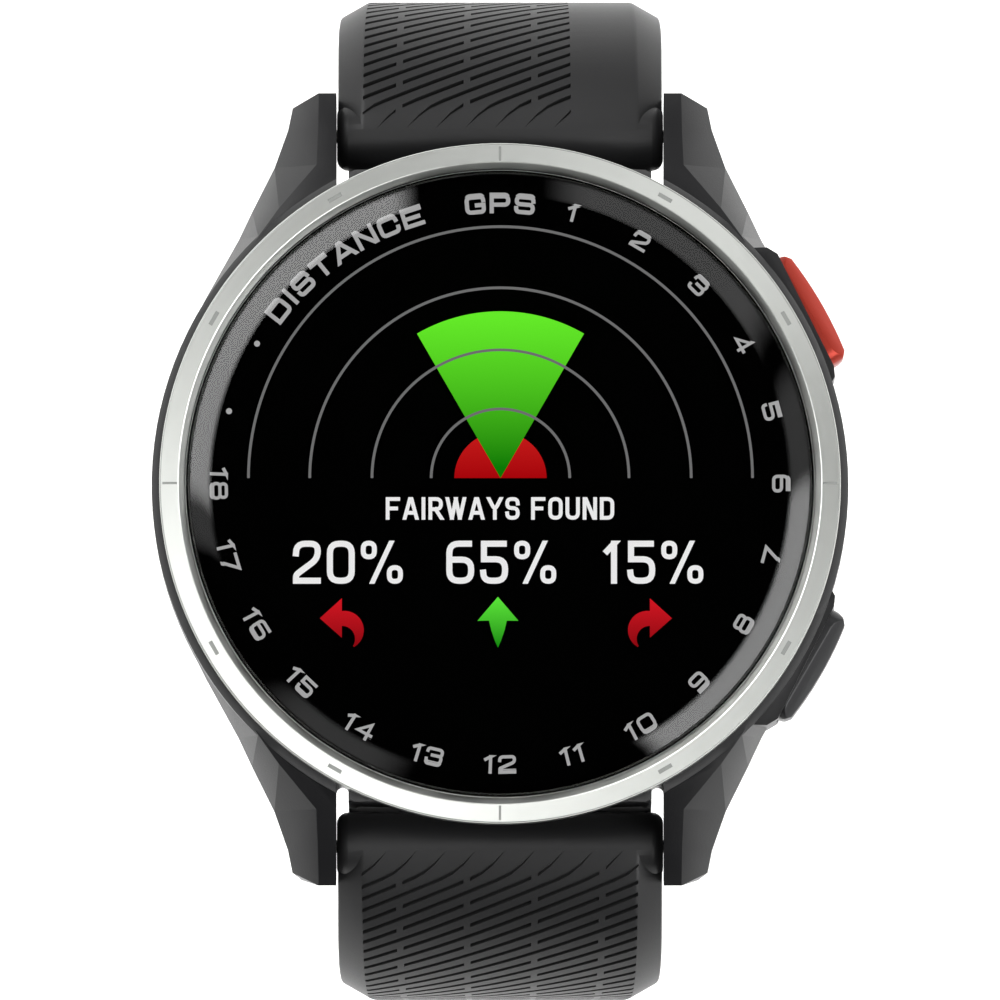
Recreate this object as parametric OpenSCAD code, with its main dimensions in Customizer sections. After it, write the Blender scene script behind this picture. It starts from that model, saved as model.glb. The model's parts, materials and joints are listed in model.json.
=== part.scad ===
// Golf GPS wrist watch: a round polymer case with a metal bezel, domed glass, two side buttons,
// and a two-piece silicone strap on quick-release spring bars.
// +Z points out of the glass, +Y towards 12 o'clock, +X towards the buttons.
// The origin is the centre of the flat back that rests on the wrist.

/* [Case] */
// Outer radius of the polymer case
case_r = 21.9; // [21.7:0.1:22.1]
// Height of the seat that carries the bezel
case_top = 9.2; // [9.1:0.1:9.4]
// Radius of the inner cavity
cavity_r = 18.4; // [18.2:0.1:18.5]
// Half the gap between a pair of lugs
lug_gap = 10.3; // [10.3:0.05:10.5]
// Distance from the centre to a lug's tip
lug_tip = 25.0; // [24.8:0.1:25.4]

/* [Bezel and glass] */
// Outer radius of the bezel
bezel_r = 21.4; // [21.2:0.1:21.5]
// Height of the bezel's brushed face above the back
bezel_top = 11.15; // [11:0.05:11.3]
// Radius of the glass
glass_r = 19.72; // [19.6:0.02:19.76]
// Height of the glass above the back, which is the watch's thickness
glass_top = 11.4; // [11.3:0.05:11.6]
// Radius at which the glass starts to curve down to its edge
glass_flat_r = 17.9; // [17.5:0.1:18.4]

/* [Buttons] */
// Angle of each button above or below the 3 o'clock line
button_angle = 30; // [29:0.5:31]
// Length of a button's cap round the case
cap_length = 7.7; // [7.5:0.05:7.7]
// Height of a button's cap
cap_height = 3.9; // [3.6:0.1:4]
// Radius that the cap's outer face follows
cap_r = 23.35; // [23.3:0.05:23.5]

/* [Strap] */
// Width of the strap between the lugs
strap_w = 20.4; // [20.2:0.1:20.4]
// Width of the strap past its taper
strap_end_w = 16; // [15.8:0.1:16.2]
// Thickness of the strap
strap_t = 2.4; // [2.2:0.1:2.4]
// Distance from the centre to a spring bar
bar_y = 22.4; // [22.3:0.1:22.5]
// Height of a spring bar above the back
bar_z = 3.0; // [2.9:0.1:3.1]
// Length of the buckle half, from the spring bar to the buckle's pin
upper_length = 69; // [66:1:70]
// Length of the long half, from the spring bar to its tip
lower_length = 113; // [108:1:115]
// Number of adjustment holes
hole_count = 10; // [8:1:11]

/* [Hidden] */
$fn = 96;
e = 0.01;

CASE_BLACK = "#1c1c1e";
RUBBER_BLACK = "#222223";
STEEL = "#b9bbbd";

// Shoulder arc of the strap beside the case, then one long arc for each half
shoulder_r = 10.5 - strap_t / 2;
shoulder_y = 21.0;
shoulder_z = -5.4;
start_angle = asin((bar_y - shoulder_y) / shoulder_r);
shoulder_s = shoulder_r * (90 - start_angle) * PI / 180;
upper_r = 80;
lower_r = 110;
taper_from = 6;
taper_to = 42;

// Where a strap's middle line is at arc length s from the bar: heading below the horizontal, then [y, z]
function heading(s, big_r) = s < shoulder_s
    ? start_angle + s / shoulder_r * 180 / PI
    : 90 + (s - shoulder_s) / big_r * 180 / PI;
function middle(s, big_r) = let(a = heading(s, big_r), r = s < shoulder_s ? shoulder_r : big_r,
    cy = s < shoulder_s ? shoulder_y : shoulder_y + shoulder_r - big_r)
    [cy + r * sin(a), shoulder_z + r * cos(a)];
function on_path(s, big_r, x, h) = let(a = heading(s, big_r), p = middle(s, big_r))
    [x, p[0] + h * sin(a), p[1] + h * cos(a)];

// A frame on the strap's path: X across, Y onwards along the strap, Z out of its outer face
module at_path(s, big_r) {
    p = middle(s, big_r);
    translate([0, p[0], p[1]]) rotate([-heading(s, big_r), 0, 0]) children();
}

function arc(r, a0, a1, n, cx = 0, cy = 0) =
    [for (i = [0:n]) let(a = a0 + (a1 - a0) * i / n) [cx + r * cos(a), cy + r * sin(a)]];
function round_rect(w, h, r, n = 6) = concat(
    arc(r, 0, 90, n, w / 2 - r, h / 2 - r), arc(r, 90, 180, n, r - w / 2, h / 2 - r),
    arc(r, 180, 270, n, r - w / 2, r - h / 2), arc(r, 270, 360, n, w / 2 - r, r - h / 2));

module plate(w, h, r, t) linear_extrude(t) polygon(round_rect(w, h, r));
module ring(r_in, r_out, z0, z1) {
    translate([0, 0, z0]) difference() {
        cylinder(r = r_out, h = z1 - z0);
        translate([0, 0, -1]) cylinder(r = r_in, h = z1 - z0 + 2);
    }
}
module torus(r, section) rotate_extrude() translate([r, 0]) circle(section, $fn = 24);
module along_x(r, x0, x1) translate([x0, 0, 0]) rotate([0, 90, 0]) cylinder(r = r, h = x1 - x0);
// Local X runs outwards along a button's axis, Y round the case towards 12 o'clock, Z up
module at_button(angle) rotate([0, 0, angle]) translate([0, 0, button_z]) children();
// Skins a list of closed rings, each with the same number of points, into one solid
module skin(rings) {
    n = len(rings[0]);
    m = len(rings);
    polyhedron(
        [for (r = rings) each r],
        concat(
            [[for (i = [0:n - 1]) n - 1 - i]],
            [[for (i = [0:n - 1]) (m - 1) * n + i]],
            [for (j = [0:m - 2], i = [0:n - 1]) let(k = (i + 1) % n)
                each [[j * n + i, j * n + k, (j + 1) * n + i],
                      [j * n + k, (j + 1) * n + k, (j + 1) * n + i]]]));
}

// ---- case ----
case_base = 0.9;
wall_y = 19.9;
notch_y = 18.6;
notch_x = 9.52;
// A thin lip under each strap's round end closes the gap in front of the wall
lip_y = 20.7;
case_mid_y = 15;
lip_top = 1.3;
back_recess_r = 19.2;
back_opening_r = 16.2;
ledge_top = 3.2;
cover_seat = 2.0;
charge_y = -11;
screw_r = 17.75;
screw_angles = [45, 135, 225, 315];
tip_hole_r = 0.5;
tip_hole_depth = 1.3;

// A lug's section at each distance from the centre: [y, ridge x, ridge z, widest x, widest z, base x, base z]
lug_sections = [
    [8.0, 19.9, 9.15, 20.4, 7.5, 20.0, 1.8], [9.6, 19.0, 9.1, 19.7, 6.6, 19.2, 1.6],
    [12.0, 17.6, 9.0, 18.5, 5.9, 17.9, 1.4], [15.7, 15.2, 8.75, 16.45, 5.2, 15.8, 1.1],
    [17.5, 13.9, 8.4, 15.6, 5.0, 15.0, 1.0], [20.3, 11.55, 7.5, 14.2, 4.6, 13.6, 0.85],
    [22.7, 11.45, 6.35, 13.35, 4.2, 12.8, 0.75], [25.4, 11.4, 5.0, 12.8, 3.7, 12.2, 0.7]
];
lug_inner_x = 9.0;
tip_lean = 8;
tip_sweep = 28;

module lug() {
    difference() {
        skin([for (q = lug_sections) [
            [lug_inner_x, q[0], q[6]], [q[5], q[0], q[6]], [q[3], q[0], q[4]],
            [q[1], q[0], q[2]], [lug_inner_x, q[0], q[2]]]]);
        // the end face leans in towards the wrist
        translate([0, lug_tip, 5.3]) rotate([-tip_lean, 0, 0]) translate([0, 0, -10]) cube([30, 10, 20]);
        // the outer corner of the tip is swept back
        translate([11.4, lug_tip, -1]) rotate([0, 0, -tip_sweep]) cube([10, 10, 20]);
    }
}

button_z = 5.2;
// A guard's outline: distance out along the button's axis, then distance towards the near lug
guard_outline = [[19.5, -4.9], [21.35, -4.75], [21.7, -4.55], [21.97, -3.95],
    [22.44, 3.95], [22.05, 4.65], [21.2, 5.1], [19.5, 5.1]];
guard_low = -3.0;
guard_high = 3.0;
pocket_gap = 0.15;
pocket_floor = 20.8;
cap_inner_r = 21.55;
sleeve_r = 1.5;
stem_r = 0.8;
stem_bore_r = 0.85;
sleeve_in = 18.1;
travel = 0.4;

// The raised boss that a button sits in stands out further at the end nearest the lug
module guard(side) translate([0, 0, guard_low]) linear_extrude(guard_high - guard_low)
    polygon([for (q = guard_outline) [q[0], q[1] * side]]);
module pocket() {
    translate([pocket_floor, 0, 0]) rotate([90, 0, 90])
        plate(cap_length + 2 * pocket_gap, cap_height + 2 * pocket_gap, 1.2, 5);
    along_x(sleeve_r, sleeve_in - 1, 23);
}

module mid_case() color(CASE_BLACK) difference() {
    union() {
        rotate_extrude() polygon([[0, case_base], [20.2, case_base], [case_r, 3.4],
            [case_r, case_top - 0.6], [bezel_r, case_top], [0, case_top]]);
        for (sx = [0, 1], sy = [0, 1]) mirror([sx, 0, 0]) mirror([0, sy, 0]) lug();
        for (side = [0, 1]) mirror([0, side, 0]) translate([-lug_gap, case_mid_y, case_base])
            cube([2 * lug_gap, lip_y - case_mid_y, lip_top - case_base]);
        at_button(button_angle) guard(1);
        at_button(-button_angle) guard(-1);
    }
    // cavity above the ledge, opening through the ledge, recess for the rear cover
    difference() {
        translate([0, 0, ledge_top]) cylinder(r = cavity_r, h = 10);
        for (a = screw_angles) rotate([0, 0, a]) translate([screw_r + 0.2, 0, 0]) cylinder(r = 1.35, h = 5.4);
    }
    cylinder(r = back_opening_r, h = 10);
    cylinder(r = back_recess_r, h = cover_seat);
    for (a = screw_angles) rotate([0, 0, a]) translate([screw_r, 0, 0]) cylinder(r = 0.57, h = 5, $fn = 32);
    // pockets between the lugs for the strap's ends, with a notch beside each lug
    for (side = [0, 1]) mirror([0, side, 0]) {
        translate([-lug_gap, wall_y, lip_top]) cube([2 * lug_gap, 10, 20]);
        translate([-lug_gap, lip_y, -1]) cube([2 * lug_gap, 10, 20]);
        for (mx = [0, 1]) mirror([mx, 0, 0]) translate([(lug_gap + notch_x) / 2, notch_y + 1.5, -1])
            plate(lug_gap - notch_x, 3, 0.38, 20);
        translate([0, bar_y, bar_z])
            along_x(tip_hole_r, -lug_gap - tip_hole_depth, lug_gap + tip_hole_depth, $fn = 32);
    }
    at_button(button_angle) pocket();
    at_button(-button_angle) pocket();
}

module rear_cover() color("#242426") difference() {
    union() {
        rotate_extrude() polygon([
            [0, 0], [15.2, 0], [18.2, 0.3], [19.0, 0.9], [19.0, cover_seat], [0, cover_seat]]);
        ring(14.9, back_opening_r - 0.1, cover_seat - e, cover_seat + 0.5);
    }
    translate([0, charge_y, -1]) plate(9.0, 4.8, 1.6, 5);
    for (a = screw_angles) rotate([0, 0, a]) translate([screw_r, 0, -1]) {
        cylinder(r = 0.66, h = 5, $fn = 32);
        cylinder(r = 1.12, h = 2.2, $fn = 32);
    }
    ring(16.42, 17.04, 1.42, cover_seat + 1);
}
module back_seal() color("#3a3a3c") translate([0, 0, 1.71]) torus(16.73, 0.28);

module screw() difference() {
    union() {
        cylinder(r = 1.0, h = 0.55);
        cylinder(r = 0.55, h = 4.0);
    }
    translate([0, 0, -e]) cylinder(r = 0.5, h = 0.4, $fn = 6);
}
module case_screws() color(STEEL) for (a = screw_angles)
    rotate([0, 0, a]) translate([screw_r, 0, 0.6]) screw($fn = 32);

module charge_block() color("#101012") difference() {
    union() {
        translate([0, charge_y, 0.9]) plate(8.9, 4.7, 1.55, 1.7);
        translate([0, charge_y, cover_seat + 0.05]) plate(9.8, 5.6, 1.9, 0.55);
    }
    for (i = [0:3]) translate([(i - 1.5) * 1.9, charge_y, -1]) cylinder(r = 0.47, h = 6, $fn = 24);
}
module charge_pins() color("#d3b25a") for (i = [0:3])
    translate([(i - 1.5) * 1.9, charge_y, 0.55]) cylinder(r = 0.45, h = 2.9, $fn = 24);

module bezel() color("#c4c6c4") difference() {
    rotate_extrude() polygon([[18.8, case_top], [bezel_r, case_top], [bezel_r, bezel_top - 0.2],
        [bezel_r - 0.2, bezel_top], [glass_r + 0.48, bezel_top], [glass_r + 0.08, bezel_top - 0.35],
        [glass_r + 0.08, 9.95], [18.8, 9.95]]);
    // a long radial mark at each quarter, a short mark round the rim at the other hours
    for (h = [0:11]) rotate([0, 0, h * 30]) translate([20.75, 0, bezel_top]) {
        if (h % 3 == 0) cube([0.9, 0.17, 0.16], center = true);
        else cube([0.26, 0.92, 0.16], center = true);
    }
}

module glass() color("#20242a") rotate_extrude() polygon(concat(
    [[0, 10.15], [glass_r, 10.15], [glass_r, glass_top - 0.65]],
    [for (i = [0:12]) let(a = 90 * i / 12)
        [glass_flat_r + (glass_r - glass_flat_r) * cos(a), glass_top - 0.6 + 0.6 * sin(a)]],
    [[0, glass_top]]));
module printed_border() color("#050506") ring(16.0, 19.6, 10.06, 10.14);
module glass_seal() color("#4a4a4c") ring(18.9, 19.65, 9.96, 10.05);
module display_panel() color("#08080a") translate([0, 0, 9.36]) cylinder(r = 18.5, h = 0.69);
module display_frame() color("#3b3d40") difference() {
    translate([0, 0, 8.65]) cylinder(r = 18.2, h = 0.7);
    translate([0, 0, 8.0]) plate(9, 24, 1.5, 2);
    translate([0, -15.6, 8.0]) plate(8, 1.4, 0.6, 2);
}

module gnss_antenna() color("#8c6a3a") difference() {
    ring(17.4, 18.2, 7.55, 8.6);
    rotate([0, 0, -75]) translate([0, -40, 7]) cube([40, 80, 3]);
    translate([-40, -40, 7]) cube([80, 28, 3]);
}
board_z = 6.65;
module main_board() color("#14432b") difference() {
    translate([0, 0, board_z]) cylinder(r = 17.6, h = 0.8);
    translate([0, -17.4, board_z - 1]) plate(9, 3.4, 0.6, 3);
}
module shield_cans() color("#a9abad") {
    translate([-6, 3.5, board_z + 0.82]) plate(12, 13, 0.8, 1.05);
    translate([7, 3.5, board_z + 0.82]) plate(10, 10, 0.8, 0.95);
    translate([6.5, -7.5, board_z + 0.82]) plate(9, 7, 0.8, 0.95);
}
// Folded ribbon from the panel's back edge down to the board
module display_flex() color("#b3702a") translate([-3, 0, 0]) rotate([90, 0, 90]) linear_extrude(6)
    polygon([[-15.4, 9.34], [-15.5, 7.62], [-13.0, 7.62], [-13.0, 7.48], [-15.7, 7.48], [-15.6, 9.34]]);
module battery() color("#77797d") translate([0, 1.5, 2.75]) plate(23, 17, 1.6, 3.7);
module battery_lead() color("#b3702a") translate([-9, 10.02, 0]) rotate([90, 0, 90]) linear_extrude(4)
    polygon([[0, 4.5], [2.2, 4.5], [2.2, board_z - 0.03], [2.05, board_z - 0.03], [2.05, 4.65], [0, 4.65]]);
module vibration_motor() color(STEEL) {
    translate([-6.7, -10.9, 2.75]) cylinder(r = 3.2, h = 2.7, $fn = 48);
}

// ---- buttons ----
module button_sleeves() color(STEEL) for (s = [-1, 1]) at_button(s * button_angle) difference() {
    along_x(sleeve_r - 0.02, sleeve_in, pocket_floor - 0.05, $fn = 48);
    along_x(stem_bore_r, sleeve_in - 1, 23, $fn = 48);
}
module tact_switch() {
    translate([15.3, -1.6, -1.3]) cube([1.6, 3.2, board_z - button_z + 1.28]);
    along_x(0.7, 16.9 - e, 17.15, $fn = 32);
}
// A cap's rounded end: distance out along the button's axis, then distance in from the end
cap_end = [[21, 0], [22.3, 0], [22.8, 0.15], [23.1, 0.5], [cap_r + 0.1, 1.0]];
module cap() {
    // The skirt slides in the guard's pocket; the outer face follows a circle round the case
    intersection() {
        translate([cap_inner_r, 0, 0]) rotate([90, 0, 90]) plate(cap_length, cap_height, 1.1, 3);
        translate([0, 0, -3]) cylinder(r = cap_r, h = 6);
        // bevels along the upper and lower edges, and at the two ends
        rotate([90, 0, 0]) translate([0, 0, -6]) linear_extrude(12) polygon([
            [21, -2], [22.4, -2], [cap_r + 0.1, -1.0], [cap_r + 0.1, 1.0], [22.4, 2], [21, 2]]);
        translate([0, 0, -3]) linear_extrude(6) polygon(concat(
            [for (q = cap_end) [q[0], q[1] - cap_length / 2]],
            [for (i = [len(cap_end) - 1:-1:0]) [cap_end[i][0], cap_length / 2 - cap_end[i][1]]]));
    }
}
stem_end = 17.6;
module stem() difference() {
    along_x(stem_r, stem_end, cap_inner_r, $fn = 48);
    // grooves for the seal and the clip
    for (g = [[19.3, 0.36], [17.86, 0.24]]) translate([g[0], 0, 0]) rotate([0, 90, 0])
        ring(0.55, 1.2, -g[1] / 2, g[1] / 2, $fn = 32);
}
module ring_seal() translate([19.3, 0, 0]) rotate([0, 90, 0]) torus(0.69, 0.135, $fn = 32);
module clip() translate([17.86, 0, 0]) rotate([0, 90, 0]) difference() {
    ring(0.57, 1.35, -0.09, 0.09, $fn = 32);
    translate([0, -0.35, -1]) cube([2, 0.7, 2]);
}
module start_cap() color("#b5372a") at_button(button_angle) cap();
module start_stem() color(STEEL) at_button(button_angle) stem();
module start_ring_seal() color("#3a3a3c") at_button(button_angle) ring_seal();
module start_clip() color(STEEL) at_button(button_angle) clip();
module start_switch() color("#c9c4b4") at_button(button_angle) tact_switch();
module back_cap() color("#1f1f21") at_button(-button_angle) cap();
module back_stem() color(STEEL) at_button(-button_angle) stem();
module back_ring_seal() color("#3a3a3c") at_button(-button_angle) ring_seal();
module back_clip() color(STEEL) at_button(-button_angle) clip();
module back_switch() color("#c9c4b4") at_button(-button_angle) tact_switch();

// ---- strap ----
bevel_drop = 1.0;
barrel_half = lug_gap - 0.03;
barrel_r = 2.15;
barrel_edge = 0.7;
bar_bore_r = 0.8;
tube_r = 0.75;
tube_half = 9.7;
tip_r = 0.42;
tip_end = lug_gap + 1.1;
// The round end that holds the buckle's pin, slotted for the tang
pin_r = 0.75;
pin_bore_r = 0.8;
pin_barrel_r = 1.5;
pin_barrel_half = strap_end_w / 2 - 0.15;
tang_slot_half = 1.45;

function half_width(s) = let(t = min(1, max(0, (s - taper_from) / (taper_to - taper_from))))
    (strap_w + (strap_end_w - strap_w) * t * t * (3 - 2 * t)) / 2;
function bevel_width(s) = 1.5 + 0.25 * min(1, s / 12);
function inner_h(s) = strap_t / 2 + 0.9 * pow(max(0, 1 - s / 8), 2);
// One ring of the strap: a flat outer face, two bevels, two thin sides and the inner face
function strap_ring(s, big_r, shrink = 1) = let(w = half_width(s) * shrink,
    f = (half_width(s) - bevel_width(s)) * shrink, top = strap_t / 2, low = inner_h(s))
    [for (q = [[-w + 0.5, -low], [w - 0.5, -low], [w, -0.6], [w, top - bevel_drop], [f, top],
               [-f, top], [-w, top - bevel_drop], [-w, -0.6]]) on_path(s, big_r, q[0], q[1])];

// The strap's round end on its spring bar, with rounded corners
module barrel() translate([0, bar_y, bar_z]) rotate([0, 90, 0]) rotate_extrude() polygon(concat(
    arc(barrel_edge, 0, 90, 6, barrel_r - barrel_edge, barrel_half - barrel_edge),
    [[0, barrel_half], [0, -barrel_half]],
    arc(barrel_edge, 270, 360, 6, barrel_r - barrel_edge, barrel_edge - barrel_half)));

module bar_bore() translate([0, bar_y, bar_z]) along_x(bar_bore_r, -15, 15, $fn = 48);
lever_x = -8.2;
lever_travel = 1.4;
module lever_slot() translate([lever_x - 0.9, bar_y - 0.95, bar_z - 4]) cube([lever_travel + 1.8, 1.9, 4]);

module upper_strap() color(RUBBER_BLACK) difference() {
    union() {
        skin([for (i = [0:40]) strap_ring(upper_length * i / 40, upper_r)]);
        barrel();
        at_path(upper_length - 0.3, upper_r) along_x(pin_barrel_r, -pin_barrel_half, pin_barrel_half);
    }
    bar_bore();
    lever_slot();
    at_path(upper_length, upper_r) {
        along_x(pin_bore_r, -15, 15, $fn = 48);
        translate([-tang_slot_half, -2.6, -4]) cube([2 * tang_slot_half, 8, 8]);
    }
}

tip_length = 10;
hole_pitch = 6.4;
hole_from = 44;
hole_r = 1.2;
module lower_strap() color(RUBBER_BLACK) mirror([0, 1, 0]) difference() {
    body_s = lower_length - tip_length;
    union() {
        skin(concat(
            [for (i = [0:51]) strap_ring(body_s * i / 51, lower_r)],
            [for (i = [1:8]) let(t = sin(i * 10))
                strap_ring(body_s + tip_length * t, lower_r, sqrt(1 - t * t))],
            [strap_ring(lower_length, lower_r, 0.08)]));
        barrel();
    }
    bar_bore();
    lever_slot();
    for (i = [0:hole_count - 1]) at_path(hole_from + i * hole_pitch, lower_r)
        translate([0, 0, -3]) cylinder(r = hole_r, h = 6, $fn = 32);
}

module bar_tube() translate([0, bar_y, bar_z]) difference() {
    union() {
        along_x(tube_r, -tube_half, tube_half, $fn = 48);
        along_x(tip_r, tube_half - 0.1, tip_end, $fn = 32);
    }
    along_x(tip_r + 0.1, -10, 8.5, $fn = 32);
    translate([lever_x - 0.6, -0.5, -2]) cube([lever_travel + 1.2, 1.0, 2]);
}
module release_pin() translate([0, bar_y, bar_z]) along_x(tip_r, -tip_end, lever_x + 0.6, $fn = 32);
module release_lever() translate([lever_x, bar_y, 0]) difference() {
    union() {
        translate([0, 0, 0.2]) cylinder(r = 0.4, h = bar_z - tip_r - 0.25, $fn = 32);
        translate([0, 0, 0.0]) cylinder(r = 0.62, h = 0.85, $fn = 32);
    }
    translate([0, 0, -e]) cylinder(r = 0.25, h = 0.1, $fn = 24);
}
spring_turns = 6;
module bar_spring() translate([0, bar_y, bar_z]) skin([for (i = [0:spring_turns * 10])
    let(a = i * 36, x = lever_x + 0.9 + 5.4 * i / (spring_turns * 10))
    [for (k = [0:5]) let(b = k * 60, r = 0.36 + 0.08 * cos(b)) [x + 0.08 * sin(b), r * cos(a), r * sin(a)]]]);

// A keeper's loop holds both strap halves, one on the other
keeper_w = strap_end_w + 0.6;
keeper_h = 5.6;
keeper_wall = 1.1;
keeper_mid = keeper_h / 2 - strap_t / 2 - 0.25;
module keeper(length) rotate([90, 0, 0]) translate([0, keeper_mid, -length / 2]) linear_extrude(length)
    difference() {
        polygon(round_rect(keeper_w + 2 * keeper_wall, keeper_h + 2 * keeper_wall, 1.6));
        polygon(round_rect(keeper_w, keeper_h, 0.6));
    }
fixed_keeper_s = 59;
free_keeper_s = 49;
module fixed_keeper() color(RUBBER_BLACK) at_path(fixed_keeper_s, upper_r) keeper(5.4);
module free_keeper() color(RUBBER_BLACK) at_path(free_keeper_s, upper_r) keeper(4.6);

frame_in = strap_end_w / 2 + 0.3;
frame_out = frame_in + 2;
frame_t = 2.3;
frame_back = 2.2;
frame_reach = 12.2;
frame_bar = 2.6;
buckle_pin_half = frame_out - 0.3;
tang_half = 1.15;
tang_eye_r = 1.45;
module buckle_pin() color(STEEL) at_path(upper_length, upper_r)
    along_x(pin_r, -buckle_pin_half, buckle_pin_half, $fn = 48);
module buckle_frame() color("#2a2a2c") at_path(upper_length, upper_r) difference() {
    translate([0, (frame_reach - frame_back) / 2, -frame_t / 2])
        plate(2 * frame_out, frame_reach + frame_back, 2.6, frame_t);
    translate([-frame_in, -6, -3]) cube([2 * frame_in, 6 + frame_reach - frame_bar, 6]);
    along_x(pin_bore_r, -buckle_pin_half - 0.05, buckle_pin_half + 0.05, $fn = 48);
}
module buckle_tang() color("#2a2a2c") at_path(upper_length, upper_r) difference() {
    union() {
        along_x(tang_eye_r, -tang_half, tang_half, $fn = 48);
        rotate([90, 0, 90]) translate([0, 0, -tang_half]) linear_extrude(2 * tang_half) polygon([
            [0, 0.5], [0, tang_eye_r], [4, 2.3], [10.5, 2.55], [12.5, 2.35], [12.9, 1.7], [12.0, 1.4],
            [5, 1.35], [1.3, 0.5]]);
    }
    along_x(pin_bore_r, -5, 5, $fn = 48);
}

module upper_bar_tube() color(STEEL) bar_tube();
module upper_bar_spring() color(STEEL) bar_spring();
module upper_release_pin() color(STEEL) release_pin();
module upper_release_lever() color(STEEL) release_lever();
module lower_bar_tube() color(STEEL) mirror([0, 1, 0]) bar_tube();
module lower_bar_spring() color(STEEL) mirror([0, 1, 0]) bar_spring();
module lower_release_pin() color(STEEL) mirror([0, 1, 0]) release_pin();
module lower_release_lever() color(STEEL) mirror([0, 1, 0]) release_lever();

mid_case();
bezel();
glass();
printed_border();
glass_seal();
display_panel();
display_frame();
gnss_antenna();
main_board();
shield_cans();
display_flex();
battery();
battery_lead();
vibration_motor();
back_seal();
rear_cover();
case_screws();
charge_block();
charge_pins();
button_sleeves();
start_switch();
back_switch();
start_cap();
start_stem();
start_ring_seal();
start_clip();
back_cap();
back_stem();
back_ring_seal();
back_clip();
upper_strap();
upper_bar_tube();
upper_bar_spring();
upper_release_pin();
upper_release_lever();
fixed_keeper();
buckle_pin();
free_keeper();
buckle_frame();
buckle_tang();
lower_strap();
lower_bar_tube();
lower_bar_spring();
lower_release_pin();
lower_release_lever();
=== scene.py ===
# %% [markdown]
# # A golf watch on a pale table
# The measured model of the watch is already made: every screw and seal has its place. This lesson
# gives it its looks. We load that model as a fixed frame, swap the parts that need finer detail
# (bezel, glass, dial print, strap) for new ones, and give every part its real material.

# %% Load the frame
import json
import math
import bmesh
import bpy
from mathutils import Matrix, Vector

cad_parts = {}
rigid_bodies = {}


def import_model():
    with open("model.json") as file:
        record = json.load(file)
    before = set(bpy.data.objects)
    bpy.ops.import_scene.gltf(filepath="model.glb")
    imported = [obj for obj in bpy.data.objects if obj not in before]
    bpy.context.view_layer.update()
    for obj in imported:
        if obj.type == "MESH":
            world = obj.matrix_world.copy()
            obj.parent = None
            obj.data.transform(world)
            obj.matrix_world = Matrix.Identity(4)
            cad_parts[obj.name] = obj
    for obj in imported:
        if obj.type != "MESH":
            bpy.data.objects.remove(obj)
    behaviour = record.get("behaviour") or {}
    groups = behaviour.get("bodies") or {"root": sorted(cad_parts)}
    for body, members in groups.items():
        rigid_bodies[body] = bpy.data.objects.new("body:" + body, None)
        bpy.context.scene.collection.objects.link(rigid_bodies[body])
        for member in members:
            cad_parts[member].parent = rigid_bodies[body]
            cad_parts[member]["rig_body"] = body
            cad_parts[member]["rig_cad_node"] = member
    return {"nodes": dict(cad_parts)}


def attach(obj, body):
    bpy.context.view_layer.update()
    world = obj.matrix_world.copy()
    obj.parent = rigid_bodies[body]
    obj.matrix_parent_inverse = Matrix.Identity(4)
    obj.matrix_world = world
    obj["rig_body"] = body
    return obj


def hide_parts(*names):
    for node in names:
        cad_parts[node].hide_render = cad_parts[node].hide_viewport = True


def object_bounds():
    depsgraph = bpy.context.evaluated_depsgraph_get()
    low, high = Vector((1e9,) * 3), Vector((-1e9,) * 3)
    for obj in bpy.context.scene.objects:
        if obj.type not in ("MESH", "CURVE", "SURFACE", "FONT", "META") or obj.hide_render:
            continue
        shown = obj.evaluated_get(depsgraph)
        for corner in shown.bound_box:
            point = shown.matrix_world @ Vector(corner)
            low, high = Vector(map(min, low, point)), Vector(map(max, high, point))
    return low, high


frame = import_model()
cad_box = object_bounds()
nodes = frame["nodes"]
MM = 0.001
print("loaded", len(nodes), "CAD nodes")

# %% [markdown]
# ## Camera
# Watches are shown from straight above with a long lens, tipped a few degrees so that the
# crystal doesn't mirror the camera. From 2.6 m the lens is long enough that near and far parts keep
# nearly one scale.

# %% Camera
TILT = 3.7
DISTANCE = 2.6
FRAME_WIDTH = 0.06319
AIM = Vector((0, 0, -0.0054))


def add_camera():
    back = Vector((0, -math.sin(math.radians(TILT)), math.cos(math.radians(TILT))))
    bpy.ops.object.camera_add(location=AIM + back * DISTANCE, rotation=(math.radians(TILT), 0, 0))
    camera = bpy.context.object
    camera.data.lens = camera.data.sensor_width * DISTANCE / FRAME_WIDTH
    camera.data.clip_start, camera.data.clip_end = 0.1, 30
    bpy.context.scene.camera = camera
    return camera


print("lens", round(add_camera().data.lens, 1), "mm")

# %% [markdown]
# ## Helpers for modelling
# Operators act on whatever is selected, so every step starts by selecting one piece and nothing
# else. In edit mode faces are picked in code, by where they lie and which way they look.

# %% Selecting, moving and finishing
def take(piece):
    """Makes one piece the only selected and active one, in object mode."""
    if bpy.context.object and bpy.context.object.mode != "OBJECT":
        bpy.ops.object.mode_set(mode="OBJECT")
    bpy.ops.object.select_all(action="DESELECT")
    piece.select_set(True)
    bpy.context.view_layer.objects.active = piece
    return piece


def edit(piece, select="SELECT"):
    take(piece)
    bpy.ops.object.mode_set(mode="EDIT")
    bpy.ops.mesh.select_all(action=select)
    return piece


def pick_faces(piece, test):
    """In edit mode, selects only the faces whose centre and normal pass the test."""
    mesh = bmesh.from_edit_mesh(piece.data)
    bpy.ops.mesh.select_all(action="DESELECT")
    for face in mesh.faces:
        face.select_set(bool(test(face.calc_center_median(), face.normal)))
    bmesh.update_edit_mesh(piece.data)


def settle(piece, smooth=30, double=1e-7):
    """Puts the place into the mesh, closes seams, turns faces outwards and smooths them."""
    take(piece)
    bpy.ops.object.transform_apply(location=True, rotation=True, scale=True)
    edit(piece)
    bpy.ops.mesh.remove_doubles(threshold=double)
    bpy.ops.mesh.normals_make_consistent(inside=False)
    bpy.ops.object.mode_set(mode="OBJECT")
    bpy.ops.object.shade_smooth_by_angle(angle=math.radians(smooth))
    return piece


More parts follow.
